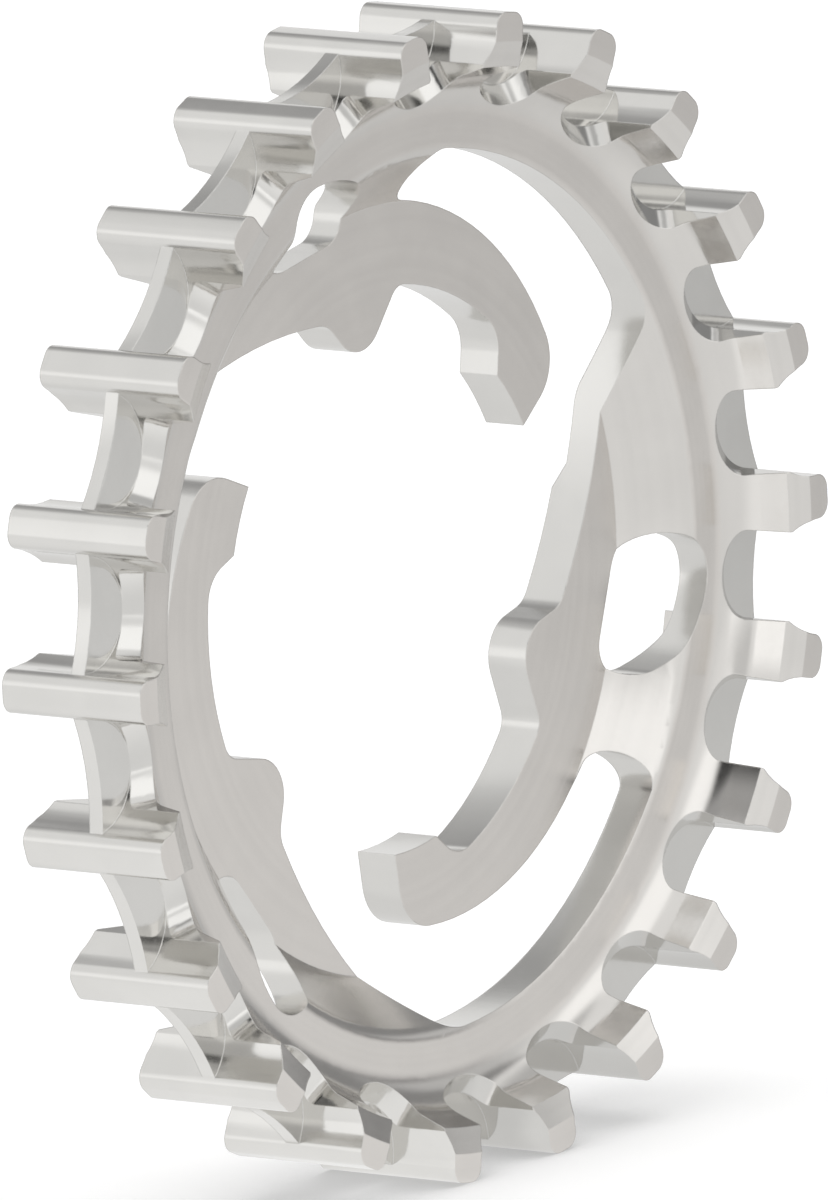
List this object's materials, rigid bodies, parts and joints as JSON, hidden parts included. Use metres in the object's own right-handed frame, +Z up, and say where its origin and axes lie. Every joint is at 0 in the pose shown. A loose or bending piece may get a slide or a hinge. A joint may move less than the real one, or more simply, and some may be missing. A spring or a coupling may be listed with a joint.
{
  "type": "belt drive sprocket",
  "caption": "One-piece toothed belt sprocket with a thin fin along the middle of its teeth and curved inner arms that fit a lobed hub driver.",
  "frame": {"origin": "on the axle, at the middle of the teeth's width", "axes": "+Z up, with a gap between teeth at the very top and bottom; +Y along the axle towards the back, so the front faces -Y"},
  "size_m": [0.0756, 0.011, 0.0748],
  "materials": {
    "steel": "machined stainless steel, satin turned faces and bright milled walls"
  },
  "bodies": {
    "root": {"sprocket": "steel"}
  },
  "joints": []
}
